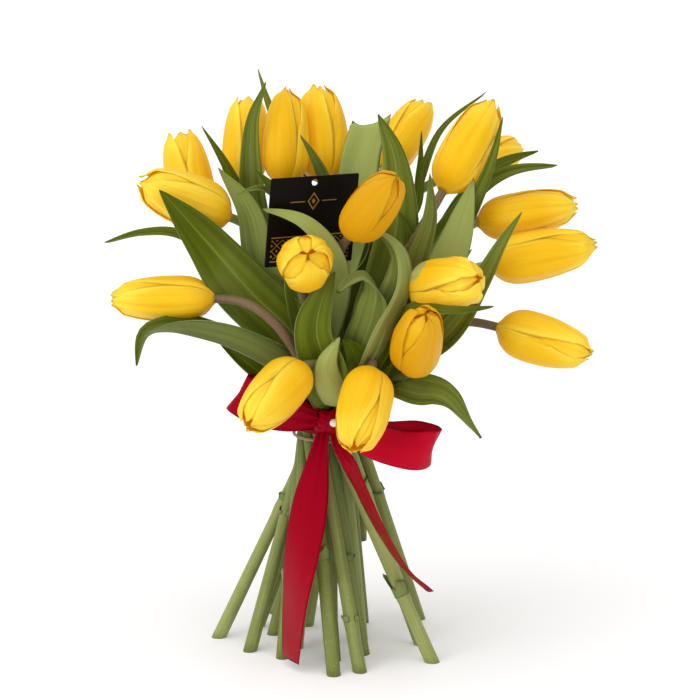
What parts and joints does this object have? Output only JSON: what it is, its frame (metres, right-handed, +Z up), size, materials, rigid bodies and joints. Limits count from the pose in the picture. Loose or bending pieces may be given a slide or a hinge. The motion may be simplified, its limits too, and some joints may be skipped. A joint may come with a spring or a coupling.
{
  "type": "bunch of tulips",
  "caption": "Hand-tied bunch of closed yellow tulips with long folded leaves, a wide red satin bow with a pearl pin and a small black card, standing on its cut stems.",
  "frame": {"origin": "middle of the bunch's box, on the floor that the cut stem ends stand on; the tie is about 16 mm from over it", "axes": "+Z up along the bunch, +X to the viewer's right, -Y towards the viewer, who faces the card and the bow"},
  "size_m": [0.3046, 0.219, 0.3612],
  "materials": {
    "tulip": null,
    "leaf": null,
    "satin": "crimson satin ribbon",
    "raffia": "dry raffia string",
    "pearl": "pearl",
    "card": "matte black card with a gold print"
  },
  "bodies": {
    "root": {"tulip_01": "tulip", "tulip_02": "tulip", "tulip_03": "tulip", "tulip_04": "tulip", "tulip_05": "tulip", "tulip_06": "tulip", "tulip_07": "tulip", "tulip_08": "tulip", "tulip_09": "tulip", "tulip_10": "tulip", "tulip_11": "tulip", "tulip_12": "tulip", "tulip_13": "tulip", "tulip_14": "tulip", "tulip_15": "tulip", "tulip_16": "tulip", "tulip_17": "tulip", "tulip_18": "tulip", "tulip_19": "tulip", "tulip_20": "tulip", "tulip_21": "tulip", "binding_string": "raffia", "card": "card", "leaf_back_left": "leaf", "leaf_back_left_low": "leaf", "leaf_back_middle": "leaf", "leaf_back_right": "leaf", "leaf_behind_low_bloom": "leaf", "leaf_card_back": "leaf", "leaf_card_front": "leaf", "leaf_curled_large": "leaf", "leaf_curled_small": "leaf", "leaf_front_dark": "leaf", "leaf_front_left": "leaf", "leaf_front_light": "leaf", "leaf_left_broad": "leaf", "leaf_left_drooping": "leaf", "leaf_left_large": "leaf", "leaf_left_narrow": "leaf", "leaf_left_upright": "leaf", "leaf_middle_folded": "leaf", "leaf_right_dark": "leaf", "leaf_right_front": "leaf", "leaf_right_horizontal": "leaf", "leaf_right_level": "leaf", "leaf_right_light": "leaf", "leaf_right_low": "leaf", "leaf_right_thin": "leaf", "leaf_right_upright": "leaf", "leaf_top_left_back": "leaf", "leaf_top_left_front": "leaf", "leaf_top_middle": "leaf", "leaf_top_right_broad": "leaf", "pearl_pin": "pearl", "ribbon_band": "satin", "ribbon_knot": "satin", "ribbon_loop_left": "satin", "ribbon_loop_right": "satin", "ribbon_tail_left": "satin", "ribbon_tail_right": "satin"}
  },
  "joints": []
}
